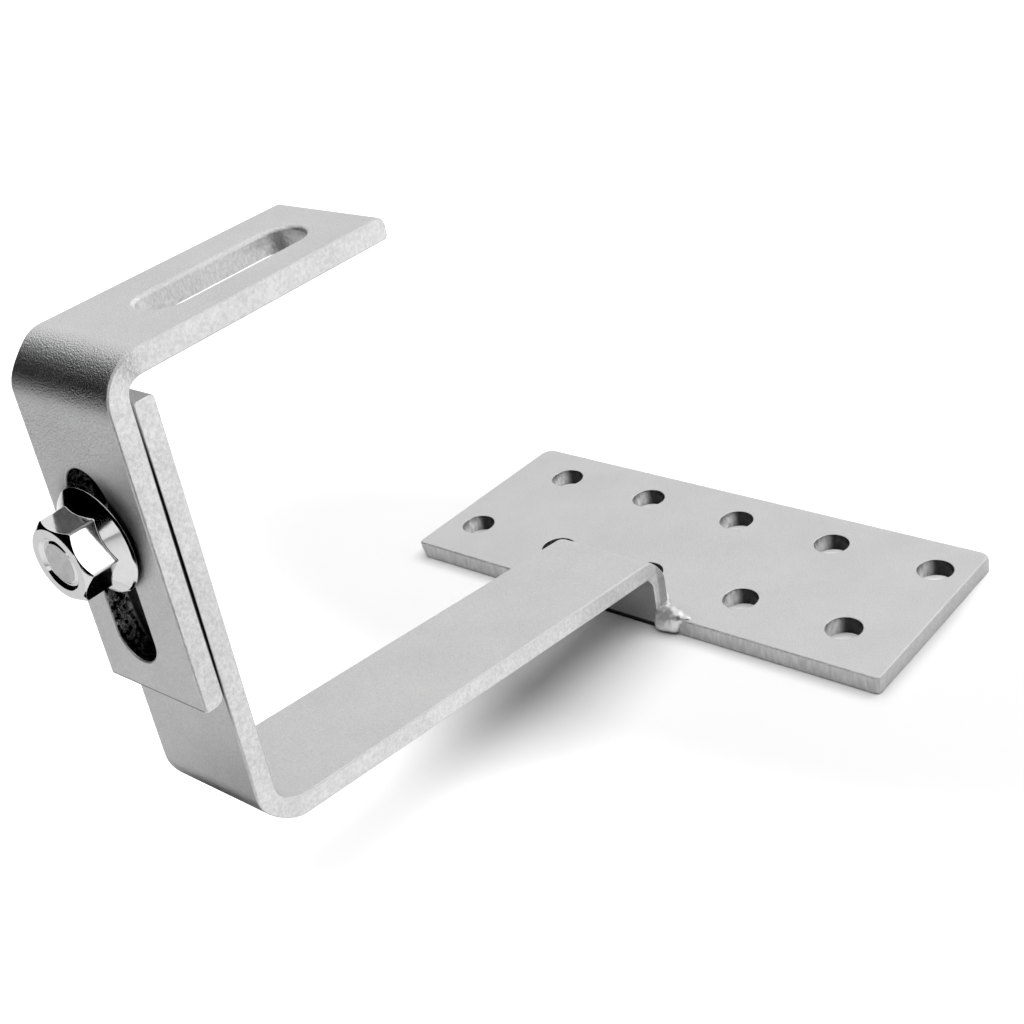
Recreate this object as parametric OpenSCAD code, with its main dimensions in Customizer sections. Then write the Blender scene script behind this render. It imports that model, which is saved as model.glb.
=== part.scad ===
// Roof hook for tiled roofs: a base plate with two staggered rows of screw holes, a bent flat-bar
// arm welded on its front edge, and a slotted angle bracket that one flange bolt clamps to the arm.
// The plate lies on z = 0 with its centre at the origin. The arm runs towards -Y.

/* [Base plate] */
// Length of the plate, along the roof batten
plate_l = 150; // [125:1:240]
// Width of the plate, front to back
plate_w = 62; // [50:1:100]
// Thickness of the plate
plate_t = 5; // [3:0.5:8]
// Radius of the plate's two front corners, seen from above
plate_corner_r = 1.5; // [0.5:0.5:5]
// Radius of the plate's two back corners, seen from above
back_corner_r = 3; // [0.5:0.5:6]
// Radius of the plate's upper back edge, which the shear has rolled over
back_roll = 2; // [0.5:0.25:2]

/* [Screw holes] */
// Diameter of each screw hole
hole_d = 9.5; // [5:0.5:12]
// Number of holes in each row
row_count = 5; // [2:1:5]
// Distance from a row's outer hole to the nearer end of the plate
hole_edge = 9.5; // [7:0.5:16]
// How far the back row is shifted along the plate against the front row
row_stagger = 8.25; // [0:0.25:14]
// Distance from the front row to the plate's front edge
front_row_in = 15; // [14:0.5:20]
// Distance from the back row to the plate's back edge
back_row_in = 13.75; // [9:0.25:18]

/* [Arm] */
// Width of the arm's flat bar
arm_w = 29.5; // [24:0.5:50]
// Thickness of the arm's flat bar
arm_t = 5; // [4:0.5:8]
// How far the arm's centre stands left of the plate's centre
arm_shift = 4.3; // [0:0.1:30]
// Distance from the plate's front edge to the inner face of the post
reach = 128.5; // [80:0.5:200]
// Height of the leg's top face above the roof at the plate's front edge
leg_h = 21; // [19:0.5:40]
// Angle by which the leg rises towards the post
leg_slope = 7; // [0:0.5:12]
// Height of the post's upper end above the roof
post_top = 132.5; // [115:0.5:200]
// Radius of the post's upper end on its inner side
post_roll = 1.2; // [0.4:0.1:2]
// Inner radius of the bend between leg and foot
foot_bend_r = 3.5; // [2:0.5:6]
// Inner radius of the bend between leg and post
post_bend_r = 7.5; // [4:0.5:12]
// Rounding of the long edges of both flat bars and of the plate
edge_r = 0.5; // [0.2:0.1:1]

/* [Bent flat bars] */
// How much thinner a bar is in the middle of a bend
bend_thin = 0.4; // [0:0.1:0.8]
// How far the outside of a bend draws in, and its inside swells out, at each side of the bar
bend_pull = 0.6; // [0:0.1:1]
// Radius of a bar's end on the side from which it was sheared
shear_roll = 1.8; // [0.4:0.1:2]
// Radius of a bar's end on the other side
shear_break = 0.6; // [0.4:0.1:1.4]

/* [Weld] */
// Radius of the bead round the foot
bead_r = 2.6; // [1.5:0.1:3]
// How far the bead's middle stands off the corner that it fills
bead_off = 0.5; // [0.2:0.1:1]
// Radius of the heavier ends that lap over the plate's front edge
bead_end_r = 3.4; // [2.5:0.1:4]
// How far each heavy end reaches past the arm's side
bead_end_l = 5; // [3:0.5:8]

/* [Rail bracket] */
// Width of the bracket's flat bar
bracket_w = 29.5; // [24:0.5:50]
// Thickness of the bracket's flat bar
bracket_t = 5; // [4:0.5:8]
// Length of the upper flange, from the outer face of the web
flange_l = 72; // [60:0.5:100]
// Height of the web, from its lower end to the top of the flange
web_l = 73.5; // [66:0.5:100]
// How far the post's end reaches up into the bracket's bend
post_rise = 0.5; // [0:0.1:0.5]
// Inner radius of the bracket's bend
bracket_bend_r = 4.5; // [3:0.5:8]
// Width of the slot in the flange
rail_slot_w = 11.4; // [7:0.1:14]
// Distance from the web's outer face to the flange slot
rail_slot_root = 21.5; // [17:0.5:28]
// Distance from the flange slot to the flange's free end
rail_slot_end = 10; // [6:0.5:14]
// How far the flange slot stands right of the bracket's centre
rail_slot_shift = 0.5; // [0:0.1:3]
// Distance from the top of the flange to the web slot
web_slot_root = 23; // [18:0.5:26]
// Distance from the web slot to the web's lower end
web_slot_end = 7.5; // [5:0.5:14]
// Rolled-over radius round the flange slot, on the side from which it was punched
rail_slot_roll = 1; // [0.2:0.1:1.2]
// Rolled-over radius round the web slot
web_slot_roll = 0.5; // [0.2:0.1:1.2]
// How far a slot's wall has broken away outwards by its far side
slot_break = 0.4; // [0:0.1:0.8]

/* [Bolt] */
// Diameter of the bolt's shank
bolt_d = 10; // [8:1:12]
// Play of the shank across the web slot
slot_play = 1.8; // [0.5:0.1:3]
// Width of the hexagon across its flats
hex_af = 15; // [13:0.5:18]
// Turn of the tightened hexagon, against two of its corners lying level
hex_turn = -6; // [-30:1:30]
// Height of the whole head, above the bracket
head_h = 9.9; // [8:0.1:13]
// Diameter of the flange under the hexagon
flange_d = 22.4; // [20:0.2:28]
// Thickness of the flange at its rim
rim_t = 1.4; // [1:0.1:2.4]
// Slope of the cone between rim and hexagon
cone_angle = 35; // [20:1:40]
// Length of the shank under the head
shank_l = 16; // [12:1:30]
// Distance from the post's upper end down to the bolt
bolt_drop = 28.7; // [22:0.1:48]
// How far the bolt and the web slot stand left of the arm's centre
bolt_shift = 1.4; // [0:0.1:3]
// Gap between the shank and the hole in the arm, per side
hole_play = 0.1; // [0.05:0.05:0.3]

/* [Hidden] */

// Steps of a full circle, of the weld's beads, of a bend, of a rounded edge and of a bar's end
round_fn = 96;
bead_fn = 20;
bend_steps = 16;
edge_steps = 3;
end_steps = 4;
// Overshoot of a cut
past = 1;

// Places that the pieces share
front_y = -plate_w / 2;
arm_x = -arm_shift;
post_in_y = front_y - reach;
post_out_y = post_in_y - arm_t;
web_out_y = post_out_y - bracket_t;
rail_z = post_top - post_rise + bracket_bend_r + bracket_t;
bolt_x = arm_x - bolt_shift;
bolt_z = post_top - bolt_drop;

// Screw holes: even pitch in both rows, the rows mirrored about the plate's centre
row_span = plate_l - 2 * hole_edge - row_stagger;
pitch = row_span / (row_count - 1);
front_row_y = front_y + front_row_in;
back_row_y = plate_w / 2 - back_row_in;

// Middle line of the arm in the Y-Z plane: foot, leg and post
foot_y = front_y + arm_t / 2;
post_y = post_in_y - arm_t / 2;
function leg_mid_z(y) = leg_h + tan(leg_slope) * (front_y - y) - arm_t / 2 / cos(leg_slope);
arm_path = [
    [foot_y, plate_t],
    [foot_y, leg_mid_z(foot_y)],
    [post_y, leg_mid_z(post_y)],
    [post_y, post_top],
];
arm_bends = [foot_bend_r, post_bend_r];

// Middle line of the bracket: web and flange
web_y = web_out_y + bracket_t / 2;
flange_z = rail_z - bracket_t / 2;
bracket_path = [
    [web_y, rail_z - web_l],
    [web_y, flange_z],
    [web_out_y + flange_l, flange_z],
];
bracket_bends = [bracket_bend_r];

// Heavy ends of the weld: they stay above the plate's underside
bead_end_z = max(bead_end_r + past / 4, plate_t - bead_end_r / 3);

// Slots: their lengths follow the bracket's legs
web_slot_w = bolt_d + slot_play;
web_slot_l = web_l - web_slot_root - web_slot_end;
rail_slot_l = flange_l - rail_slot_root - rail_slot_end;

// Bolt head: hexagon above a conical flange, with a ring groove round a low boss in its face
face_share = 0.97;
dish_share = 0.74;
boss_share = 0.54;
chamfer_angle = 45;
hex_corner_r = hex_af / sqrt(3);
face_r = face_share * hex_af / 2;
chamfer_h = (hex_corner_r - face_r) * tan(chamfer_angle);
dish_r = dish_share * hex_af / 2;
boss_r = boss_share * hex_af / 2;
groove_r = (dish_r + boss_r) / 2;
groove_d = 0.8;
boss_low = 0.35;
rim_round = rim_t / 4;
cone_h = rim_t + (flange_d / 2 - rim_round - hex_af / 2) * tan(cone_angle);
tip_chamfer = 0.8;

function arc_points(cx, cy, r, from, to, steps) =
    [for (i = [0:steps]) let (a = from + (to - from) * i / steps) [cx + r * cos(a), cy + r * sin(a)]];

// Rectangle of size a by b, centred, with a radius for each corner: upper right and on leftwards
function round_outline(a, b, r) = concat(
    arc_points(a / 2 - r[0], b / 2 - r[0], r[0], 0, 90, edge_steps),
    arc_points(-a / 2 + r[1], b / 2 - r[1], r[1], 90, 180, edge_steps),
    arc_points(-a / 2 + r[2], -b / 2 + r[2], r[2], 180, 270, edge_steps),
    arc_points(a / 2 - r[3], -b / 2 + r[3], r[3], 270, 360, edge_steps)
);
function even_outline(a, b, r) = round_outline(a, b, [r, r, r, r]);

function heading(p, i) = atan2(p[i + 1][1] - p[i][1], p[i + 1][0] - p[i][0]);
function wrap(a) = a > 180 ? a - 360 : a < -180 ? a + 360 : a;
function turn(p, i) = wrap(heading(p, i) - heading(p, i - 1));
function ahead(a) = [cos(a), sin(a)];
function left_of(a) = [-sin(a), cos(a)];

// A station is [y, z, heading, left, right], where left and right say how that side of the bar
// differs from a plain section: [how far its face stands in, how far its two edges stand in]
function plain_side() = [0, 0];
function roll_in(r, s) = r - sqrt(r * r - (r - s) * (r - s));
function end_side(r, s) = [s < r ? roll_in(r, s) : 0, 0];

// Rounded end of a bar at point q; way is 1 at the bar's start and -1 at its end
function end_stations(q, a, way, left_r, right_r) =
    let (reach = max(left_r, right_r))
    [for (k = [0:end_steps])
        let (s = reach * (1 - cos(90 * k / end_steps)), c = q + way * s * ahead(a))
        [c[0], c[1], a, end_side(left_r, s), end_side(right_r, s)]];
// The same for a path's last point, in the order of the sweep
function last_stations(p, left_r, right_r) =
    let (made = end_stations(p[len(p) - 1], heading(p, len(p) - 2), -1, left_r, right_r))
    [for (i = [end_steps:-1:0]) made[i]];
function square_end(q, a) = [[q[0], q[1], a, plain_side(), plain_side()]];

// Round corner i of a path with middle radius r: the bar thins, its outside draws in, its inside swells
function bend_stations(p, i, r) =
    let (
        a = heading(p, i - 1),
        sweep = turn(p, i),
        side = sign(sweep),
        set_back = r * tan(abs(sweep) / 2),
        centre = p[i] - set_back * ahead(a) + side * r * left_of(a)
    )
    [for (k = [0:bend_steps])
        let (
            b = a + sweep * k / bend_steps,
            q = centre - side * r * left_of(b),
            e = pow(sin(180 * k / bend_steps), 2),
            outside = [bend_thin * e, bend_pull * e],
            inside = [0, -bend_pull * e]
        )
        [q[0], q[1], b, side > 0 ? inside : outside, side > 0 ? outside : inside]];
function all_bends(p, bends, t) = [for (i = [1:len(p) - 2]) each bend_stations(p, i, bends[i - 1] + t / 2)];

// Place of one corner point c of a bar's section at station s
function section_point(c, s) =
    let (
        side = c[1] > 0 ? s[3] : s[4],
        across = c[0] - sign(c[0]) * side[1],
        out = c[1] - sign(c[1]) * side[0]
    )
    [across, s[0] - out * sin(s[2]), s[1] + out * cos(s[2])];

// A flat bar of width w and thickness t, swept through stations in the Y-Z plane
module swept_bar(at, w, t) {
    ring = even_outline(w, t, edge_r);
    n = len(ring);
    last = len(at) - 1;
    points = [for (s = at) for (c = ring) section_point(c, s)];
    sides = [for (k = [0:last - 1]) for (j = [0:n - 1])
        [k * n + j, k * n + (j + 1) % n, (k + 1) * n + (j + 1) % n, (k + 1) * n + j]];
    start_cap = [for (j = [n - 1:-1:0]) j];
    end_cap = [for (j = [0:n - 1]) last * n + j];
    polyhedron(points, concat([start_cap], sides, [end_cap]), convexity = 4);
}

// Half of a punched slot's section, h wide at its narrowest, with the punched face at height 0
function punched_half(h, t, roll) = concat(
    [[0, past], [h + roll, past]],
    arc_points(h + roll, -roll, roll, 90, 180, edge_steps),
    [[h, -t / 2], [h + slot_break, -t], [h + slot_break, -t - past], [0, -t - past]]
);

// Round-ended slot along Y through a bar of thickness t that lies flat under z = 0
module punched_slot(l, w, t, roll) {
    half = punched_half(w / 2, t, roll);
    for (end = [-1, 1])
        translate([0, end * (l - w) / 2, 0])
            rotate_extrude($fn = round_fn)
                polygon(half);
    rotate([90, 0, 0])
        linear_extrude(l - w, center = true)
            polygon(concat(half, [for (i = [len(half) - 2:-1:1]) [-half[i][0], half[i][1]]]));
}

// Stations of the arm, from the foot up to the post's end, and of the bracket, from the web's lower end
arm_stations = concat(
    square_end(arm_path[0], heading(arm_path, 0)),
    all_bends(arm_path, arm_bends, arm_t),
    last_stations(arm_path, shear_break, post_roll)
);
bracket_stations = concat(
    end_stations(bracket_path[0], heading(bracket_path, 0), 1, shear_break, shear_roll),
    all_bends(bracket_path, bracket_bends, bracket_t),
    last_stations(bracket_path, shear_roll, shear_break)
);

// Plate blank with rounded corners and softened edges all round
module plate_blank() {
    intersection() {
        linear_extrude(plate_t)
            polygon(round_outline(plate_l, plate_w,
                [back_corner_r, back_corner_r, plate_corner_r, plate_corner_r]));
        translate([0, 0, plate_t / 2])
            rotate([90, 0, 0])
                linear_extrude(plate_w, center = true)
                    polygon(even_outline(plate_l, plate_t, edge_r));
        translate([0, 0, plate_t / 2])
            rotate([90, 0, 90])
                linear_extrude(plate_l, center = true)
                    polygon(round_outline(plate_w, plate_t, [back_roll, edge_r, edge_r, edge_r]));
    }
}

module screw_row(shift, y) {
    for (i = [0:row_count - 1])
        translate([shift + i * pitch - row_span / 2, y, -past])
            cylinder(h = plate_t + 2 * past, d = hole_d, $fn = round_fn);
}

module base_plate() {
    color("gainsboro")
        difference() {
            plate_blank();
            screw_row(-row_stagger / 2, front_row_y);
            screw_row(row_stagger / 2, back_row_y);
        }
}

// The foot stands on the plate, flush with its front edge
module arm() {
    color("lightgray")
        difference() {
            translate([arm_x, 0, 0])
                swept_bar(arm_stations, arm_w, arm_t);
            translate([bolt_x, post_in_y + past, bolt_z])
                rotate([90, 0, 0])
                    cylinder(h = arm_t + 2 * past, d = bolt_d + 2 * hole_play, $fn = round_fn);
        }
}

// A bead with round ends between two points
module bead(from, to, r) {
    hull()
        for (p = [from, to])
            translate(p)
                sphere(r = r, $fn = bead_fn);
}

// Weld round the sides and the back of the foot, lapping over the plate's front edge at both ends
module weld_bead() {
    side_x = arm_w / 2;
    back_y = front_y + arm_t;
    color("whitesmoke")
        translate([arm_x, 0, 0])
            difference() {
                union() {
                    bead([-side_x, back_y, plate_t] + bead_off * [-1, 1, 1],
                         [side_x, back_y, plate_t] + bead_off * [1, 1, 1], bead_r);
                    for (s = [-1, 1]) {
                        bead([s * (side_x + bead_off), front_y, plate_t + bead_off],
                             [s * (side_x + bead_off), back_y + bead_off, plate_t + bead_off], bead_r);
                        bead([s * side_x, front_y, bead_end_z],
                             [s * (side_x + bead_end_l), front_y, bead_end_z], bead_end_r);
                    }
                }
                translate([-plate_l, front_y, -plate_w])
                    cube([2 * plate_l, plate_w, plate_w + plate_t]);
                translate([-side_x, front_y - 2 * bead_end_r, plate_t - past])
                    cube([arm_w, arm_t + 2 * bead_end_r, plate_w]);
            }
}

module rail_bracket() {
    color("silver")
        translate([arm_x, 0, 0])
            difference() {
                swept_bar(bracket_stations, bracket_w, bracket_t);
                translate([rail_slot_shift, web_out_y + rail_slot_root + rail_slot_l / 2, rail_z])
                    punched_slot(rail_slot_l, rail_slot_w, bracket_t, rail_slot_roll);
                translate([-bolt_shift, web_out_y, rail_z - web_slot_root - web_slot_l / 2])
                    rotate([90, 0, 0])
                        punched_slot(web_slot_l, web_slot_w, bracket_t, web_slot_roll);
            }
}

// Flange bolt, built standing on its head's seat at z = 0
module bolt_upright() {
    intersection() {
        rotate([0, 0, hex_turn])
            linear_extrude(head_h)
                circle(r = hex_corner_r, $fn = 6);
        rotate_extrude($fn = round_fn)
            polygon([
                [0, rim_t / 2],
                [hex_corner_r + past, rim_t / 2],
                [hex_corner_r + past, head_h - chamfer_h - past * tan(chamfer_angle)],
                [face_r, head_h],
                [dish_r, head_h],
                [groove_r, head_h - groove_d],
                [boss_r, head_h - boss_low],
                [0, head_h - boss_low],
            ]);
    }
    rotate_extrude($fn = round_fn)
        polygon([
            [0, 0],
            [flange_d / 2 - rim_round, 0],
            [flange_d / 2, rim_round],
            [flange_d / 2, rim_t - rim_round],
            [flange_d / 2 - rim_round, rim_t],
            [hex_af / 2, cone_h],
            [0, cone_h],
        ]);
    rotate([180, 0, 0])
        rotate_extrude($fn = round_fn)
            polygon([
                [0, -rim_t / 2],
                [bolt_d / 2, -rim_t / 2],
                [bolt_d / 2, shank_l - tip_chamfer],
                [bolt_d / 2 - tip_chamfer, shank_l],
                [0, shank_l],
            ]);
}

module flange_bolt() {
    color("white")
        translate([bolt_x, web_out_y, bolt_z])
            rotate([90, 0, 0])
                bolt_upright();
}

base_plate();
arm();
weld_bead();
rail_bracket();
flange_bolt();
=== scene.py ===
"""Looks of the roof hook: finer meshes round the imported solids, steel, floor, light and camera."""

import math

import bmesh
import bpy
import numpy as np
from mathutils import Matrix, Vector, noise


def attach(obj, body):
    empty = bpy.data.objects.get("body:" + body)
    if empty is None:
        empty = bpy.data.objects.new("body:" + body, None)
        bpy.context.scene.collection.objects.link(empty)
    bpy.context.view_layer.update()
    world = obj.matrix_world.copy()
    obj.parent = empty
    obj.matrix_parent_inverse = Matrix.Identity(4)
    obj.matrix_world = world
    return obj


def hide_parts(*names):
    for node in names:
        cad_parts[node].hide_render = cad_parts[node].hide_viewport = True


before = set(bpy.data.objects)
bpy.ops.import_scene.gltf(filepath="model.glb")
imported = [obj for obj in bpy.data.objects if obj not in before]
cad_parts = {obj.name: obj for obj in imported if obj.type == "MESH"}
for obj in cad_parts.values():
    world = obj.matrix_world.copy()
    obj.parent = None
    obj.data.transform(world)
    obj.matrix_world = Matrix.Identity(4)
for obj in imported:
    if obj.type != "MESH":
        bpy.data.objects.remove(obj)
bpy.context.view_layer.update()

# Shapes are worked out in millimetres, and this turns them into metres
MM = 0.001

# Sizes and their names are those of the part's own source.
# Base plate: length, width, thickness, then the radii of front corners, back corners and upper back edge
plate_l, plate_w, plate_t = 150.0, 62.0, 5.0
plate_corner_r, back_corner_r, back_roll = 1.5, 3.0, 2.0
# Screw holes: diameter and number in a row, then their places from the plate's ends and long edges
hole_d, row_count = 9.5, 5
hole_edge, row_stagger = 9.5, 8.25
front_row_in, back_row_in = 15.0, 13.75
# Arm: its flat bar, its place along the plate, its reach and heights, the leg's angle and the bend radii
arm_w, arm_t, arm_shift = 29.5, 5.0, 4.3
reach, leg_h, leg_slope, post_top = 128.5, 21.0, 7.0, 132.5
foot_bend_r, post_bend_r, post_roll = 3.5, 7.5, 1.2
# Both bars: rounding along the edges, thinning and drawing in at a bend, and the two radii of a sheared end
edge_r, bend_thin, bend_pull = 0.5, 0.4, 0.6
shear_roll, shear_break = 1.8, 0.6
# Weld: how far the bead's middle stands off the corner that it fills
bead_off = 0.5
# Rail bracket: its flat bar, its two legs, its bend and how far the post reaches up into that bend
bracket_w, bracket_t, flange_l, web_l = 29.5, 5.0, 72.0, 73.5
bracket_bend_r, post_rise = 4.5, 0.5
# The bracket's slots: their places, then how their edges roll over on one side and break away on the other
rail_slot_w, rail_slot_root, rail_slot_end, rail_slot_shift = 11.4, 21.5, 10.0, 0.5
web_slot_root, web_slot_end = 23.0, 7.5
rail_slot_roll, web_slot_roll, slot_break = 1.0, 0.5, 0.4
# Bolt: shank, play in the slot and in the arm, the head with its flange and cone, and the bolt's place
bolt_d, shank_l, slot_play, hole_play = 10.0, 16.0, 1.8, 0.1
hex_af, hex_turn, head_h = 15.0, -6.0, 9.9
flange_d, rim_t, cone_angle = 22.4, 1.4, 35.0
bolt_drop, bolt_shift = 28.7, 1.4

# Places that the pieces share
front_y = -plate_w / 2
arm_x = -arm_shift
foot_y = front_y + arm_t / 2
post_in_y = front_y - reach
post_y = post_in_y - arm_t / 2
post_out_y = post_in_y - arm_t
web_out_y = post_out_y - bracket_t
rail_z = post_top - post_rise + bracket_bend_r + bracket_t
bolt_x = arm_x - bolt_shift
bolt_z = post_top - bolt_drop
hole_r = bolt_d / 2 + hole_play
web_slot_w = bolt_d + slot_play
web_slot_l = web_l - web_slot_root - web_slot_end
web_slot_z = rail_z - web_slot_root - web_slot_l / 2
rail_slot_l = flange_l - rail_slot_root - rail_slot_end
rail_slot_x = arm_x + rail_slot_shift
rail_slot_y = web_out_y + rail_slot_root + rail_slot_l / 2
row_span = plate_l - 2 * hole_edge - row_stagger
pitch = row_span / (row_count - 1)
front_row_y = front_y + front_row_in
back_row_y = plate_w / 2 - back_row_in

# Steps of a rounded edge, of a bar's end, of a bend, of a full circle and of a screw hole
EDGE_STEPS, END_STEPS, BEND_STEPS, ROUND_STEPS, HOLE_STEPS = 5, 8, 40, 120, 72
# How far a cutter reaches past the face that it cuts
PAST = 1.0
# Faces that meet at more than this angle keep a sharp edge
SHARP = math.radians(32)
# The side of a bar where it is neither thinner nor narrower
PLAIN = (0.0, 0.0)


# Meshes
def new_object(name, points, faces):
    """An object from points in millimetres, at the origin, in metres."""
    mesh = bpy.data.meshes.new(name)
    mesh.from_pydata([tuple(MM * c for c in p) for p in points], [], faces)
    mesh.validate()
    return linked(name, mesh)


def linked(name, data):
    made = bpy.data.objects.new(name, data)
    bpy.context.scene.collection.objects.link(made)
    return made


def tidy_normals(obj):
    work = bmesh.new()
    work.from_mesh(obj.data)
    bmesh.ops.remove_doubles(work, verts=work.verts, dist=1e-7)
    bmesh.ops.recalc_face_normals(work, faces=work.faces)
    work.to_mesh(obj.data)
    work.free()


def evaluated_mesh(obj):
    return bpy.data.meshes.new_from_object(obj.evaluated_get(bpy.context.evaluated_depsgraph_get()))


def cut(obj, *cutters):
    """Takes the cutters away from obj, and removes them."""
    for cutter in cutters:
        step = obj.modifiers.new("cut", "BOOLEAN")
        step.operation, step.solver, step.object = "DIFFERENCE", "EXACT", cutter
    shape = evaluated_mesh(obj)
    obj.modifiers.clear()
    old, obj.data = obj.data, shape
    shape.name = obj.name
    bpy.data.meshes.remove(old)
    for cutter in cutters:
        bpy.data.objects.remove(cutter)
    tidy_normals(obj)


def shade(obj):
    """Smooth normals that follow the large faces, with sharp edges kept."""
    obj.data.shade_smooth()
    obj.data.set_sharp_from_angle(angle=SHARP)
    weigh = obj.modifiers.new("weigh", "WEIGHTED_NORMAL")
    weigh.keep_sharp, weigh.weight, weigh.mode = True, 100, "FACE_AREA"


def lofted(name, rings, first=None, last=None):
    """A closed solid through rings of equal count. Each end is a fan to its point, or one face."""
    n, m = len(rings[0]), len(rings)
    low = 1 if first else 0
    high = low + (m - 1) * n
    points = ([first] if first else []) + [p for ring in rings for p in ring] + ([last] if last else [])
    faces = [(a + j, a + (j + 1) % n, a + n + (j + 1) % n, a + n + j)
             for a in range(low, high, n) for j in range(n)]
    if first:
        faces += [(0, low + (j + 1) % n, low + j) for j in range(n)]
    else:
        faces.append(tuple(reversed(range(n))))
    if last:
        faces += [(len(points) - 1, high + j, high + (j + 1) % n) for j in range(n)]
    else:
        faces.append(tuple(range(high, high + n)))
    made = new_object(name, points, faces)
    tidy_normals(made)
    return made


def lathe(name, profile, steps=ROUND_STEPS):
    """A closed solid turned round Z, from (radius, height) points whose first and last lie on the axis."""
    angles = [2 * math.pi * j / steps for j in range(steps)]
    rings = [[(r * math.cos(a), r * math.sin(a), z) for a in angles] for r, z in profile[1:-1]]
    return lofted(name, rings, (0, 0, profile[0][1]), (0, 0, profile[-1][1]))


def placed(x, y, z, turn_x=0.0):
    return Matrix.Translation((MM * x, MM * y, MM * z)) @ Matrix.Rotation(math.radians(turn_x), 4, "X")


# Outlines
def clamped(value):
    return max(0.0, min(1.0, value))


def arc(cx, cy, r, start, end, steps):
    return [(cx + r * math.cos(math.radians(start + (end - start) * i / steps)),
             cy + r * math.sin(math.radians(start + (end - start) * i / steps))) for i in range(steps + 1)]


def round_outline(a, b, r, steps=EDGE_STEPS):
    """Centred rectangle with a radius for each corner: upper right and on leftwards."""
    return (arc(a / 2 - r[0], b / 2 - r[0], r[0], 0, 90, steps)
            + arc(-a / 2 + r[1], b / 2 - r[1], r[1], 90, 180, steps)
            + arc(-a / 2 + r[2], -b / 2 + r[2], r[2], 180, 270, steps)
            + arc(a / 2 - r[3], -b / 2 + r[3], r[3], 270, 360, steps))


def stands_in(r, s):
    """How far an edge of radius r stands in at s below its face."""
    return r - math.sqrt(max(r * r - (r - s) ** 2, 0)) if s < r else 0.0


def fillet(line, steps=4, most=0.45):
    """Rounds the corners of a line of (x, y, radius) in the plane, taking at most a share of either side."""
    made = [line[0][:2]]
    for before, corner, after in zip(line, line[1:], line[2:]):
        p, q, s = (np.array(point[:2], float) for point in (before, corner, after))
        u, v = (p - q) / np.linalg.norm(p - q), (s - q) / np.linalg.norm(s - q)
        half = math.acos(max(-1, min(1, float(u @ v)))) / 2
        back = min(corner[2] / math.tan(half), most * np.linalg.norm(p - q), most * np.linalg.norm(s - q))
        r = back * math.tan(half)
        mid = q + (u + v) / np.linalg.norm(u + v) * r / math.sin(half)
        a, b = q + u * back - mid, q + v * back - mid
        turn = math.atan2(a[0] * b[1] - a[1] * b[0], float(a @ b))
        for k in range(steps + 1):
            c, d = math.cos(turn * k / steps), math.sin(turn * k / steps)
            made.append((mid[0] + a[0] * c - a[1] * d, mid[1] + a[0] * d + a[1] * c))
    return made + [line[-1][:2]]


# Bars: a station is (y, z, heading, left side, right side), and a side is (thinner by, narrower by)
def heading(path, i):
    return math.atan2(path[i + 1][1] - path[i][1], path[i + 1][0] - path[i][0])


def end_stations(q, a, way, left_r, right_r):
    """Rounded end of a bar at q, from the tip inwards."""
    made = []
    for k in range(END_STEPS + 1):
        s = max(left_r, right_r) * (1 - math.cos(math.pi / 2 * k / END_STEPS))
        made.append((q[0] + way * s * math.cos(a), q[1] + way * s * math.sin(a), a,
                     (stands_in(left_r, s), 0.0), (stands_in(right_r, s), 0.0)))
    return made


def bend_stations(path, i, r):
    """A round corner: the bar thins, its outside draws in and its inside swells."""
    a, b = heading(path, i - 1), heading(path, i)
    sweep = (b - a + math.pi) % (2 * math.pi) - math.pi
    side = math.copysign(1, sweep)
    back = r * math.tan(abs(sweep) / 2)
    cy = path[i][0] - back * math.cos(a) - side * r * math.sin(a)
    cz = path[i][1] - back * math.sin(a) + side * r * math.cos(a)
    made = []
    for k in range(BEND_STEPS + 1):
        h = a + sweep * k / BEND_STEPS
        share = math.sin(math.pi * k / BEND_STEPS) ** 2
        outside, inside = (bend_thin * share, bend_pull * share), (0.0, -bend_pull * share)
        left, right = (inside, outside) if side > 0 else (outside, inside)
        made.append((cy + side * r * math.sin(h), cz - side * r * math.cos(h), h, left, right))
    return made


def swept_bar(name, stations, x, width, thick):
    """A flat bar swept through stations in the Y-Z plane, its middle at x."""
    section, rings = round_outline(width, thick, [edge_r] * 4), []
    for y, z, h, left, right in stations:
        ring = []
        for across, out in section:
            thinner, narrower = left if out > 0 else right
            aside = across - math.copysign(narrower, across)
            up = out - math.copysign(thinner, out)
            ring.append((x + aside, y - up * math.sin(h), z + up * math.cos(h)))
        rings.append(ring)
    return lofted(name, rings)


def punched_slot(name, length, width, depth, roll, place):
    """Cutter for a round-ended slot along its own Y, punched from z = 0 down through depth."""
    half, half_turn = width / 2, ROUND_STEPS // 2
    wall = ([(half + roll, PAST)] + arc(half + roll, -roll, roll, 90, 180, EDGE_STEPS + 2)
            + [(half + slot_break, -depth), (half + slot_break, -depth - PAST)])
    way_round = [(math.pi * i / half_turn + (0 if end > 0 else math.pi), end * (length - width) / 2)
                 for end in (1, -1) for i in range(half_turn + 1)]
    rings = [[(r * math.cos(a), mid + r * math.sin(a), z) for a, mid in way_round] for r, z in wall]
    made = lofted(name, rings)
    made.data.transform(place)
    return made


# Arm
def leg_mid_z(y):
    slope = math.radians(leg_slope)
    return leg_h + math.tan(slope) * (front_y - y) - arm_t / 2 / math.cos(slope)


arm_path = [(foot_y, plate_t), (foot_y, leg_mid_z(foot_y)), (post_y, leg_mid_z(post_y)), (post_y, post_top)]


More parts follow.
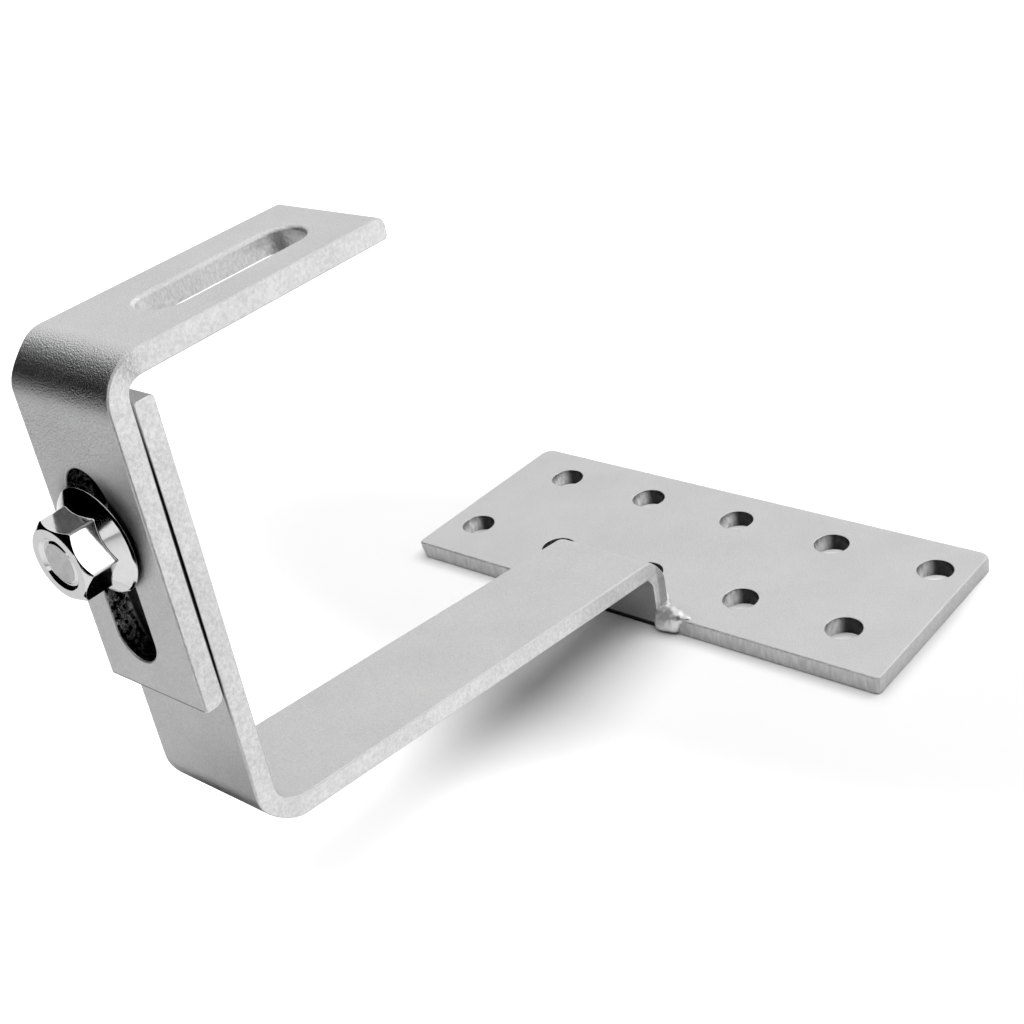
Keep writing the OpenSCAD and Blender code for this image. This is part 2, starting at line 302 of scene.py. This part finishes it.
def arm_bar():
    """The arm, with its foot in the plate's notch just above the floor, and the bolt's hole in its post."""
    foot_lift = 0.15
    stations = [(foot_y, foot_lift, heading(arm_path, 0), PLAIN, PLAIN)]
    stations += bend_stations(arm_path, 1, foot_bend_r + arm_t / 2)
    stations += bend_stations(arm_path, 2, post_bend_r + arm_t / 2)
    stations += reversed(end_stations(arm_path[3], heading(arm_path, 2), -1, shear_break, post_roll))
    made = swept_bar("arm_bar", stations, arm_x, arm_w, arm_t)
    bore = lathe("bore", [(0, -PAST), (hole_r, -PAST), (hole_r, arm_t + PAST), (0, arm_t + PAST)])
    bore.data.transform(placed(bolt_x, post_in_y, bolt_z, 90))
    cut(made, bore)
    return made


# Rail bracket
# How far the flange's slot drifts to the right for each millimetre down
slot_lean = 0.16


def bracket_bar():
    web_y, flange_z = web_out_y + bracket_t / 2, rail_z - bracket_t / 2
    path = [(web_y, rail_z - web_l), (web_y, flange_z), (web_out_y + flange_l, flange_z)]
    stations = end_stations(path[0], heading(path, 0), 1, shear_break, shear_roll)
    stations += bend_stations(path, 1, bracket_bend_r + bracket_t / 2)
    stations += reversed(end_stations(path[2], heading(path, 1), -1, shear_roll, shear_break))
    made = swept_bar("bracket_bar", stations, arm_x, bracket_w, bracket_t)
    leaning = Matrix.Identity(4)
    leaning[0][2] = -slot_lean
    cut(made,
        punched_slot("rail_cut", rail_slot_l, rail_slot_w, bracket_t, rail_slot_roll,
                     placed(rail_slot_x, rail_slot_y, rail_z) @ leaning),
        punched_slot("web_cut", web_slot_l, web_slot_w, bracket_t, web_slot_roll,
                     placed(bolt_x, web_out_y, web_slot_z, 90)))
    return made


# Base plate
def plate_blank():
    """The plate as stacked outlines: each stands in by how far its edges are rounded at that height."""
    corner_steps, roll_steps = 6, 10
    low = [edge_r * (1 - math.cos(math.radians(a))) for a in np.linspace(0, 90, EDGE_STEPS + 1)]
    high = sorted({plate_t - r * (1 - math.sin(math.radians(a)))
                   for r, steps in ((back_roll, roll_steps), (edge_r, EDGE_STEPS))
                   for a in np.linspace(0, 90, steps + 1)})
    layers = [(z, stands_in(edge_r, z), stands_in(edge_r, z)) for z in low]
    layers += [(z, stands_in(edge_r, plate_t - z), stands_in(back_roll, plate_t - z)) for z in high]
    rings = []
    for z, side, back in layers:
        outline = round_outline(plate_l - 2 * side, plate_w - side - back,
                                [back_corner_r] * 2 + [plate_corner_r] * 2, corner_steps)
        rings.append([(x, y + (side - back) / 2, z) for x, y in outline])
    return lofted("plate", rings)


def wear_left_end(obj):
    """The plate's left end as sheared: its front corner drawn out, its lower arris rolled off."""
    worn_l, worn_h = 14, 3.4
    corner_out, arris_in, corner_front = 1.1, 2.4, 0.5
    for v in obj.data.vertices:
        x, y, z = (c / MM for c in v.co)
        near = clamped((-x - plate_l / 2 + worn_l) / worn_l)
        front = clamped((plate_w / 2 - y) / plate_w)
        low = max(0.0, 1 - z / worn_h)
        v.co.x += MM * (-corner_out * near ** 3 * front ** 2 + arris_in * near ** 8 * low ** 2)
        v.co.y -= MM * corner_front * near ** 2 * front ** 4


def hole_cutter(x, y):
    """A screw hole: rolled over above, straight half way down, then a little wider."""
    r, roll, wider = hole_d / 2, 0.35, slot_break / 2
    below = -plate_t - PAST
    profile = [(0, PAST), (r + roll, PAST)] + arc(r + roll, -roll, roll, 90, 180, EDGE_STEPS)
    profile += [(r, -plate_t / 2), (r + wider, -plate_t), (r + wider, below), (0, below)]
    made = lathe("hole", profile, HOLE_STEPS)
    made.data.transform(placed(x, y, plate_t))
    return made


def foot_notch():
    """The cutout in the plate's front edge that the arm's foot fills."""
    overlap = 0.01
    stations = [(foot_y - PAST, z, math.pi / 2, PLAIN, PLAIN) for z in (-PAST, plate_t + PAST)]
    return swept_bar("notch", stations, arm_x, arm_w - 2 * overlap, arm_t + 2 * PAST - 2 * overlap)


def base_plate():
    made = plate_blank()
    wear_left_end(made)
    holes = [hole_cutter(shift + i * pitch - row_span / 2, y)
             for shift, y in ((-row_stagger / 2, front_row_y), (row_stagger / 2, back_row_y))
             for i in range(row_count)]
    cut(made, foot_notch(), *holes)
    return made


# Bolt: rings round the axis, where the hexagon's radius changes with the angle.
# The head's face is a ring, a groove within it and a boss. The flange is hollow below its lip, and its seat
# clears the web by seat_z
face_r, dish_r, boss_r = (share * hex_af / 2 for share in (0.97, 0.74, 0.54))
groove_r, groove_d, boss_low = (dish_r + boss_r) / 2, 0.8, 0.35
rim_r, rim_bevel, rim_low = flange_d / 2, 0.4, 0.85
lip_r, lip_z, seat_r, seat_z, core_r = rim_r - 1.2, 0.35, rim_r - 1.8, 0.03, bolt_d / 2 - 0.5
cone_slope = math.tan(math.radians(cone_angle))
at_bolt = placed(bolt_x, web_out_y, bolt_z, 90)


def hexagon_r(a):
    """Distance from the axis to the hexagon's side at angle a, with its six corners a little rounded."""
    corner_off, blend = 0.12, 0.05
    off = abs((a - math.radians(hex_turn)) % (math.pi / 3) - math.pi / 6)
    flat = hex_af / 2 / math.cos(off)
    most = hex_af / math.sqrt(3) - corner_off
    h = max(blend - abs(flat - most), 0) / blend
    return min(flat, most) - h * h * blend / 4


def bolt_head():
    slices, steps = [], 360
    for j in range(steps):
        a = 2 * math.pi * j / steps
        r = hexagon_r(a)
        slices.append((a, fillet(((0, head_h - boss_low, 0),
                                  (boss_r, head_h - boss_low, 0.5),
                                  (groove_r, head_h - groove_d, 0.35),
                                  (dish_r, head_h, 0.25),
                                  (face_r, head_h, 0.12),
                                  (r, head_h - (r - face_r), 0.14),
                                  (r, rim_t + (rim_r - rim_bevel - r) * cone_slope, 0.3),
                                  (rim_r - rim_bevel, rim_t, 0.25),
                                  (rim_r, rim_t - rim_bevel, 0.3),
                                  (rim_r, rim_low, 0.2),
                                  (lip_r, lip_z, 0.1),
                                  (seat_r, seat_z, 0.1),
                                  (core_r, seat_z, 0)))))
    rings = [[(line[k][0] * math.cos(a), line[k][0] * math.sin(a), line[k][1]) for a, line in slices]
             for k in range(1, len(slices[0][1]))]
    made = lofted("bolt_head", rings, (0, 0, head_h - boss_low))
    made.data.transform(at_bolt)
    return made


def bolt_shank():
    """Shank with an M10 thread, as rings whose radius follows the helix."""
    thread_pitch, depth, steps, rings_a_turn = 1.5, 0.92, 72, 12
    # Plain length on both sides of the seat, length in which the groove deepens, and the tip's chamfer
    neck, runout, tip_l, tip_in = 0.5, 1.0, 0.9, 1.0
    # Half width of the groove and its flat root, as shares of pitch and depth, and how low the crests are
    half_groove, root, crest = 0.44, 0.92, 0.06
    count, rings = int(shank_l / thread_pitch * rings_a_turn), []
    for k in range(count + 1):
        z = neck - (shank_l + neck) * k / count
        tip_r = bolt_d / 2 - tip_in + clamped((z + shank_l) / tip_l)
        ring = []
        for j in range(steps):
            turn = (z / thread_pitch + j / steps) % 1
            groove = max(0.0, 1 - abs(turn - 0.5) / half_groove) if z < -neck else 0.0
            r = bolt_d / 2 - crest - depth * min(groove, root) * clamped((-z - neck) / runout)
            a = 2 * math.pi * j / steps
            ring.append((min(r, tip_r) * math.cos(a), min(r, tip_r) * math.sin(a), z))
        rings.append(ring)
    made = lofted("bolt_shank", rings, (0, 0, neck), (0, 0, -shank_l))
    made.data.transform(at_bolt)
    return made


# Weld
def weld_drops():
    """Melted drops as (place from the arm's middle, radius): a run behind the foot and runs at its sides."""
    side_x, back_y = arm_w / 2, front_y + arm_t
    back_r, back_step, back_in, back_z = 2.0, 1.5, 2, plate_t + bead_off
    uneven, drops = 0.15, []

    def run(p, q, r, step, seed):
        """A row of drops from p to q, whose radii waver along a line of its own through the noise."""
        p, q = np.array(p, float), np.array(q, float)
        count = max(2, int(np.linalg.norm(q - p) / step))
        for i in range(count + 1):
            wave = noise.noise(Vector((7.1 * seed, 0.8 * i, 3.3)))
            drops.append((p + (q - p) * i / count, r * (1 + uneven * wave)))

    def beside(s, out, inwards, z):
        return s * (side_x + out), front_y + inwards, z

    # Side runs: both ends as (out from the bar, in from the plate's edge, height), radius, step and seed
    side_runs = (((0.1, 1.5, plate_t - 0.3), (0.1, arm_t - 1, plate_t - 0.4), 1.5, 1.2, 2),
                 ((0.8, 0.0, 1.8), (4.9, 0.3, 2.1), 2.2, 1.2, 5),
                 ((0.7, 0.3, 3.4), (5.0, 0.5, 3.5), 2.1, 1.2, 8),
                 ((0.8, 1.0, 4.6), (5.8, 1.0, 4.4), 2.0, 1.0, 11),
                 ((6.2, 1.3, 4.4), (8.6, 1.3, 4.3), 1.4, 0.9, 14))
    # Single lumps on top: out from the bar, in from the edge, height and radius
    lumps = ((1.5, 1.9, 5.6, 1.4), (3.6, 1.7, 5.5, 1.5), (5.5, 1.5, 5.2, 1.2))
    run((back_in - side_x, back_y + bead_off, back_z), (side_x - back_in, back_y + bead_off, back_z),
        back_r, back_step, 1)
    for s in (-1, 1):
        for start, end, r, step, seed in side_runs:
            run(beside(s, *start), beside(s, *end), r, step, seed + s)
        for out, inwards, z, r in lumps:
            drops.append((np.array(beside(s, out, inwards, z)), r))
    return drops


def weld_bead():
    """The drops melted into one lumpy skin, whose outer ends flow down over the plate's edge."""
    # A ball's field is wider than the drop that is left of it at the threshold
    field = 1.45
    skin = bpy.data.metaballs.new("weld")
    skin.resolution = skin.render_resolution = 0.3
    skin.threshold = 0.6
    for c, r in weld_drops():
        ball = skin.elements.new(type="BALL")
        ball.co, ball.radius, ball.stiffness = (arm_x + c[0], c[1], c[2]), field * r, 2.0
    soft = linked("weld_drops", skin)
    shape = evaluated_mesh(soft)
    bpy.data.objects.remove(soft)
    # Lumps and fine ripples: size and height. The lumps are higher above calm_z than below, within a rise
    lump, low_lump_h, more_h, ripple, ripple_h = 1.6, 0.1, 0.25, 0.6, 0.03
    calm_z, rise, floor_gap = 3, 2, 0.05
    for v in shape.vertices:
        lump_h = low_lump_h + more_h * clamped((v.co.z - calm_z) / rise)
        v.co += v.normal * (lump_h * noise.noise(v.co / lump) + ripple_h * noise.noise(v.co / ripple))
        v.co.z = max(v.co.z, floor_gap)
    shape.transform(Matrix.Scale(MM, 4))
    shape.name = "weld"
    made = linked("weld", shape)
    made.data.shade_smooth()
    return made


arm, bracket, plate = arm_bar(), bracket_bar(), base_plate()
head, shank, weld = bolt_head(), bolt_shank(), weld_bead()


# Shader nodes
class Graph:
    """Short ways to add linked nodes to a shader tree."""

    def __init__(self, tree):
        self.nodes, self.links = tree.nodes, tree.links

    def add(self, kind, inputs=(), **settings):
        """Adds a node. inputs pairs a socket with a value, or with an output that is linked to it."""
        node = self.nodes.new("ShaderNode" + kind)
        for name, value in settings.items():
            setattr(node, name, value)
        for socket, value in inputs:
            self.put(node, socket, value)
        return node

    def put(self, node, socket, value):
        if isinstance(value, bpy.types.NodeSocket):
            self.links.new(value, node.inputs[socket])
        else:
            node.inputs[socket].default_value = value

    def place(self):
        return self.add("TexCoord").outputs["Object"]

    def math(self, operation, a, b):
        return self.add("Math", ((0, a), (1, b)), operation=operation).outputs[0]

    def vector(self, operation, a, b):
        node = self.add("VectorMath", ((0, a), (1, b)), operation=operation)
        return node.outputs["Value" if operation in ("DISTANCE", "DOT_PRODUCT") else "Vector"]

    def ranged(self, source, low, high, start=0.25, end=0.75):
        """Rises smoothly from low to high while source goes from start to end."""
        return self.add("MapRange", (("Value", source), ("From Min", start), ("From Max", end),
                                     ("To Min", low), ("To Max", high)),
                        interpolation_type="SMOOTHSTEP").outputs["Result"]

    def cells(self, scale, detail, stretch=(1, 1, 1)):
        """Noise over the object, with so many cells a metre."""
        stretched = self.vector("MULTIPLY", self.place(), stretch)
        return self.add("TexNoise", (("Vector", stretched), ("Scale", scale), ("Detail", detail),
                                     ("Roughness", 0.6))).outputs["Fac"]


def mark(centre, stretch, near, far, least):
    """A share that is least within near millimetres of the centre, and 1 past far. stretch weighs X, Y, Z."""
    def share(graph):
        away = graph.vector("SUBTRACT", graph.place(), [MM * c for c in centre])
        away = graph.vector("DISTANCE", graph.vector("MULTIPLY", away, stretch), (0, 0, 0))
        return graph.ranged(away, least, 1, MM * near, MM * far)
    return share


def shade_in_hollows(base, reach=0.01, sheltered=0.82, bare=0.97):
    """The same mark as painted shade in hollows, but only where other faces stand within reach, in metres."""
    def share(graph):
        openness = graph.add("AmbientOcclusion", (("Distance", reach),), samples=8).outputs["AO"]
        return graph.math("MAXIMUM", base(graph), graph.ranged(openness, 0, 1, sheltered, bare))
    return share


def lit_from(side, dark=0.06, bright=1.6):
    """Bright where the surface faces the side, and dark where it turns away."""
    def share(graph):
        normal = graph.add("NewGeometry").outputs["Normal"]
        return graph.ranged(graph.vector("DOT_PRODUCT", normal, side), dark, bright, 0.05, 0.95)
    return share


# Noise cells a metre of the broad clouding and of the changing roughness
CLOUDS, PATCHES = 55, 240


def steel(name, grey, grain, cells, cloud, rough, rough_swing, bump, streak=(1, 1, 1), speckle=(0.25, 0.75),
          bump_depth=0.0003, marks=(), burnished=()):
    """Bare steel. grain and cloud say how much a fine grain and a broad clouding change its brightness.
    streak stretches the grain, and speckle narrows it to bright grains. marks paint shade and light onto the
    steel, and burnished smooths it."""
    made = bpy.data.materials.new(name)
    made.use_nodes = True
    graph = Graph(made.node_tree)
    shader = graph.nodes["Principled BSDF"]
    fine, broad = graph.cells(cells, 3, streak), graph.cells(CLOUDS, 4)
    tone = graph.math("MULTIPLY", graph.ranged(fine, 1 - grain, 1 + grain, *speckle),
                      graph.ranged(broad, 1 - cloud, 1 + cloud))
    for share in marks:
        tone = graph.math("MULTIPLY", tone, share(graph))
    skin = graph.ranged(graph.cells(PATCHES, 3), rough - rough_swing, rough + rough_swing)
    for share in burnished:
        skin = graph.math("MULTIPLY", skin, share(graph))
    colour = graph.add("VectorMath", ((0, (grey, grey, grey)), ("Scale", tone)), operation="SCALE")
    raised = graph.add("Bump", (("Strength", bump), ("Distance", bump_depth), ("Height", fine)))
    for socket, value in (("Metallic", 1.0), ("Base Color", colour.outputs[0]), ("Roughness", skin),
                          ("Normal", raised.outputs["Normal"])):
        graph.put(shader, socket, value)
    return made


# Marks of painted shade: centre in millimetres, weights of X, Y and Z, near, far and the share that is left
# within near.
# ROUND marks lie round a point, ALONG_X round a line along X, and UP from the floor
ROUND, ALONG_X, UP, FLOOR = (1, 1, 1), (0, 1, 1), (0, 0, 1), (0, 0, 0)
bend_shade = mark((arm_x, web_out_y + 0.9, rail_z - 5.5), ALONG_X, 2, 7, 0.7)
# Painted shade: a thin dark line along the web's lower front edge, where it ends over the post
web_end_shade = mark((arm_x, web_out_y, rail_z - web_l), ALONG_X, 0.5, 0.9, 0.3)
# Painted shadow of the bolt's head on the web, reaching past the flange up and to the right
bolt_shadow = mark((bolt_x + 2.5, web_out_y, bolt_z + 3), ROUND, 9, 14, 0.4)
# Painted shade: the post near black where it shows through the web's slot, wherever that stays sheltered
web_slot_shade = shade_in_hollows(mark((bolt_x, post_out_y, web_slot_z), (1, 1.5, 0.28), 6.5, 7.3, 0.03))
# Painted shade: the web slot's wall darker towards its lower end
slot_bottom_shade = mark(FLOOR, UP, 75, 88, 0.03)
# Painted contact shadow: the arm near black along its lowest millimetre, at the floor
foot_contact_shadow = mark(FLOOR, UP, 1.1, 1.8, 0.04)
# Painted contact shadow: the weld darker along its bottom, at the floor
weld_contact_shadow = mark(FLOOR, UP, 0.5, 1.2, 0.1)
# Painted shade: the joint between post and web shows as a dark line of shade on the bars' sides, which the
# small weight of Z ends above and below
joint_shade = mark((arm_x, post_out_y, 97), (0, 1, 0.0135), 0.3, 0.55, 0.02)
# Painted shade on the foot's sides, over their back part by the weld behind the foot
foot_back_side_shade = mark((arm_x, front_y + arm_t, 7), (0, 1, 0.2), 3.0, 3.7, 0.6)
# Painted shade on the foot under the leg, within 8 to 16 mm of where its front meets the plate's top,
# stronger on its faces than on its sides
foot_shade, foot_side_shade = (mark((0, front_y, plate_t), ALONG_X, 8, 16, least) for least in (0.6, 0.85))
# The second hole of the front row is dark in the foot's shade
hole_beside_foot = mark((-row_stagger / 2 + pitch - row_span / 2, front_row_y, 0), (1, 1, 0), 5.5, 7, 0.12)
# The satin finish, and the skin over each bend, which is smoother
satin_rough = 0.42
satin = {"grey": 0.62, "grain": 0.10, "cells": 2800, "cloud": 0.03, "rough": satin_rough, "rough_swing": 0.02,
         "bump": 0.6}
bends = (mark((0, web_out_y, rail_z), ALONG_X, 6.4, 16, 0.29 / satin_rough),
         mark((0, post_out_y, arm_path[2][1] - arm_t / 2), ALONG_X, 5.2, 13, 0.36 / satin_rough))

blasted = steel("satin_stainless", **satin, burnished=bends, marks=(web_end_shade, bolt_shadow, bend_shade))
arm_steel = steel("arm_stainless", **satin, burnished=bends, marks=(foot_shade, foot_contact_shadow, web_slot_shade))
sheared = steel("sheared_edge", 0.76, grain=0.12, cells=1300, cloud=0.05, rough=0.42, rough_swing=0.06,
                bump=0.35, marks=(foot_side_shade, foot_back_side_shade, joint_shade))
# The plate's front edge is darker than its top, partly as a duller sheared edge and partly as painted shade
plate_edge = steel("plate_edge", 0.43, grain=0.18, cells=900, cloud=0.06, rough=0.36, rough_swing=0.08,
                   bump=0.4, streak=(1, 1, 0.25))
# Painted shade: the plate's ends darker than its top
plate_end = steel("plate_end", 0.5, grain=0.10, cells=1300, cloud=0.05, rough=0.42, rough_swing=0.05,
                  bump=0.3)
punched = steel("punched_slot", 0.68, grain=0.12, cells=1500, cloud=0.05, rough=0.45, rough_swing=0.08,
                bump=0.4, streak=(1, 1, 0.7))
# The web slot's wall: its rough cut texture painted as bright glints over near black, which is painted shade
punched_web = steel("punched_web_slot", 1.0, grain=1.0, cells=1500, cloud=0.06, rough=0.25, rough_swing=0.05,
                    bump=1.0, bump_depth=0.001, streak=(1, 0.6, 0.6), speckle=(0.44, 0.56),
                    marks=(slot_bottom_shade,))
punched_hole = steel("punched_hole", 0.5, grain=0.25, cells=1200, cloud=0.06, rough=0.34, rough_swing=0.08,
                     bump=0.6, streak=(1, 1, 0.25), marks=(lit_from((1, 0.35, 0)), hole_beside_foot))
welded = steel("weld_metal", 0.76, grain=0.05, cells=900, cloud=0.06, rough=0.36, rough_swing=0.06,
               bump=0.2, marks=(weld_contact_shadow,))
# Painted highlight: the rounded edges on the bars' +X sides, brighter than the faces beside them
arris = steel("worn_arris", 0.84, grain=0.08, cells=1300, cloud=0.03, rough=0.68, rough_swing=0.05,
              bump=0.2, marks=(joint_shade,))
polished = steel("polished_stainless", 0.72, grain=0.03, cells=400, cloud=0.04, rough=0.09, rough_swing=0.03,
                 bump=0.04)
forged = steel("bolt_face", 0.52, grain=0.08, cells=700, cloud=0.14, rough=0.22, rough_swing=0.05, bump=0.2)
# Painted shade: the flange's underside near black, for the shaded gap between flange and web
underside_shade = steel("bolt_underside", 0.05, grain=0.10, cells=900, cloud=0.04, rough=0.50, rough_swing=0.05,
                  bump=0.3)


# Which face gets which material: c is the face's centre in millimetres, n its normal.
# A normal has more than SIDE_ON along X on a bar's side and EDGE_ON on its edge, and less than HOLE_WALL or
# SLOT_WALL along a hole or slot on its wall
SIDE_ON, EDGE_ON, HOLE_WALL, SLOT_WALL = 0.95, 0.25, 0.5, 0.3


def dress(obj, materials, choose):
    """Gives obj its materials, and each face the one that choose returns."""
    for material in materials:
        obj.data.materials.append(material)
    for poly in obj.data.polygons:
        poly.material_index = materials.index(choose(poly.center / MM, poly.normal))


def in_slot(aside, along, width, length, margin=0.45):
    """Whether a place, measured from a slot's middle, lies on or within its wall."""
    return math.hypot(aside, max(abs(along) - (length - width) / 2, 0)) < width / 2 + margin


def arm_face(c, n):
    if math.hypot(c.x - bolt_x, c.z - bolt_z) < hole_r + 0.05 and abs(n.y) < HOLE_WALL:
        return punched_hole
    if EDGE_ON < n.x < SIDE_ON and n.y < -EDGE_ON:
        return arris
    return sheared if abs(n.x) > SIDE_ON else arm_steel


def bracket_face(c, n):
    rail_x = rail_slot_x + slot_lean * (rail_z - c.z)
    if abs(n.z) < SLOT_WALL and in_slot(c.x - rail_x, c.y - rail_slot_y, rail_slot_w, rail_slot_l):
        return punched
    if abs(n.y) < SLOT_WALL and in_slot(c.x - bolt_x, c.z - web_slot_z, web_slot_w, web_slot_l):
        return punched_web
    if EDGE_ON < n.x < SIDE_ON and abs(n.y) > EDGE_ON:
        return arris
    return sheared if abs(n.x) > SIDE_ON else blasted


def plate_face(c, n):
    rim, end_in, faces_end, front_in, faces_up = 2, 1, 0.8, 0.6, 0.35
    inside = abs(c.x) < plate_l / 2 - rim and abs(c.y) < plate_w / 2 - rim
    if inside and abs(n.z) < HOLE_WALL:
        return punched_hole
    if abs(c.x) > plate_l / 2 - end_in and abs(n.x) > faces_end:
        return plate_end
    return plate_edge if c.y < front_y + front_in and n.z < faces_up else blasted


def head_face(c, n):
    faces_web, faces_out = 0.3, -0.9
    if n.y > faces_web:
        return underside_shade
    on_boss = n.y < faces_out and math.hypot(c.x - bolt_x, c.z - bolt_z) < boss_r
    return forged if on_boss else polished


dress(arm, (arm_steel, sheared, punched_hole, arris), arm_face)
dress(bracket, (blasted, sheared, punched, punched_web, arris), bracket_face)
dress(plate, (blasted, plate_edge, punched_hole, plate_end), plate_face)
dress(weld, (welded,), lambda c, n: welded)
dress(head, (polished, underside_shade, forged), head_face)
dress(shank, (polished,), lambda c, n: polished)
for obj in (arm, bracket, plate, head, shank):
    shade(obj)

for piece, body, slot, node in ((arm, "hook", "satin_stainless", "arm"),
                                (plate, "hook", "satin_stainless", "base_plate"),
                                (weld, "hook", "weld_metal", "weld_bead"),
                                (head, "hook", "polished_stainless", "flange_bolt"),
                                (shank, "hook", "polished_stainless", None),
                                (bracket, "bracket", "satin_stainless", "rail_bracket")):
    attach(piece, body)
    if node:
        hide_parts(node)


# Floor and sky
def seen_directly(graph, mirrored=1.0):
    """1 for rays from the eye, and mirrored for those by way of a mirror or glass."""
    path = graph.add("LightPath")
    seen = path.outputs["Is Camera Ray"]
    for ray in ("Is Glossy Ray", "Is Transmission Ray"):
        seen = graph.math("MAXIMUM", seen, graph.math("MULTIPLY", path.outputs[ray], mirrored))
    return seen


def floor_glow(graph, stretch, near, far, most, middle=(0.0, -0.03, 0.0)):
    """Glow that rises to most with the distance from the object's middle, in metres."""
    away = graph.vector("DISTANCE", graph.vector("MULTIPLY", graph.place(), stretch), middle)
    return graph.ranged(away, 0.0, most, near, far)


def paper():
    """Pale grey near the object, where it keeps the shadow, and white further off."""
    made = bpy.data.materials.new("paper")
    made.use_nodes = True
    graph = Graph(made.node_tree)
    graph.nodes.remove(graph.nodes["Principled BSDF"])
    whiter = graph.math("ADD", floor_glow(graph, stretch=(0.3, 1, 1), near=0.035, far=0.09, most=0.6),
                        floor_glow(graph, stretch=(1, 1, 1), near=0.3, far=1.2, most=0.5))
    strength = graph.math("MULTIPLY", whiter, seen_directly(graph, 0.15))
    diffuse = graph.add("BsdfDiffuse", (("Color", (0.79, 0.79, 0.79, 1)),))
    glow = graph.add("Emission", (("Strength", strength),))
    both = graph.add("AddShader", ((0, diffuse.outputs[0]), (1, glow.outputs[0])))
    graph.put(graph.nodes["Material Output"], "Surface", both.outputs[0])
    return made


floor_half = 9000
floor_corners = [(x * floor_half, y * floor_half, 0) for x, y in ((-1, -1), (1, -1), (1, 1), (-1, 1))]
floor = new_object("floor", floor_corners, [(0, 1, 2, 3)])
floor.data.materials.append(paper())

world = bpy.data.worlds.new("studio")
bpy.context.scene.world = world
world.use_nodes = True
graph = Graph(world.node_tree)
sky = graph.nodes["Background"]
graph.put(sky, "Color", (1, 1, 1, 1))
# The sky lights the object weakly, and is white where it is seen
graph.put(sky, "Strength", graph.ranged(seen_directly(graph), 0.2, 1.0, 0, 1))


# Lamps
def lamp(name, place, target, side, watts):
    """A square lamp, in metres."""
    data = bpy.data.lights.new(name, "AREA")
    data.shape, data.size, data.energy = "SQUARE", side, watts
    made = linked(name, data)
    made.location = place
    made.rotation_euler = (Vector(target) - Vector(place)).to_track_quat("-Z", "Y").to_euler()
    return made


overhead = lamp("overhead", place=(0, 0.1, 1.2), target=(0, -0.05, 0), side=1.8, watts=24)
overhead.visible_glossy = False
lamp("right", place=(0.77, 0.21, 0.36), target=(0, -0.17, 0.1), side=0.35, watts=0.5)
lamp("edge", place=(0.41, 0.62, 0.95), target=(0, -0.08, 0.06), side=0.5, watts=1.2)


# Cards, as a photographer sets them up for the metal to reflect
def even_paint(name, strength):
    made = bpy.data.materials.new(name)
    made.use_nodes = True
    graph = Graph(made.node_tree)
    graph.nodes.remove(graph.nodes["Principled BSDF"])
    glow = graph.add("Emission", (("Strength", strength),))
    graph.put(graph.nodes["Material Output"], "Surface", glow.outputs[0])
    return made


def card(name, centre, edges, start, end, strength, steps=48):
    """A card of even brightness, met by reflections alone: a strip round the centre between two edges, each
    a (radius, height), from the bearing start to end. 0 degrees is -X and 90 is -Y."""
    points = []
    for i in range(steps + 1):
        a = math.radians(start + (end - start) * i / steps)
        for radius, z in edges:
            points.append((centre[0] - radius * math.cos(a), centre[1] - radius * math.sin(a), z))
    made = new_object(name, points, [(2 * i, 2 * i + 1, 2 * i + 3, 2 * i + 2) for i in range(steps)])
    made.visible_camera = made.visible_diffuse = made.visible_shadow = False
    made.data.materials.append(even_paint(name, strength))


beside_arm, below_post, wall_r = (0, -120), (0, -165), 900
card("dark_wall_left", beside_arm, ((wall_r, 20), (wall_r, 600)), -5, 13, 0.0)
card("dark_wall_near", beside_arm, ((wall_r, 20), (wall_r, 1200)), 13, 75, 0.0)
card("dark_wall_front", beside_arm, ((wall_r, 260), (wall_r, 960)), 75, 112, 0.0)
card("dark_wall_right", beside_arm, ((wall_r, 1), (wall_r, 960)), 112, 178, 0.0)
# The mats lie on the floor and are met by reflections alone: painted shade in the floor that the metal
# reflects, dimmer to the front left and black below the post and to the front right
card("grey_mat", beside_arm, ((60, 1), (wall_r, 1)), 5, 62, 0.8)
card("dark_mat", below_post, ((18, 1.5), (56, 1.5)), -60, 75, 0.0)
card("black_mat", beside_arm, ((110, 1), (wall_r, 1)), 112, 178, 0.0)

# Camera: its place in metres, its angles and its focal length were fitted to the photo's straight edges
camera = linked("camera", bpy.data.cameras.new("camera"))
camera.location = (0.23438, -0.30345, 0.24298)
camera.rotation_euler = (math.radians(59.9364), math.radians(9.3864), math.radians(39.3716))
camera.data.lens = 56.3135
camera.data.sensor_width = 36.0
camera.data.shift_x = camera.data.shift_y = 0.0
camera.data.clip_start, camera.data.clip_end = 0.01, 50
bpy.context.scene.camera = camera
bpy.context.scene.view_settings.view_transform = "Standard"
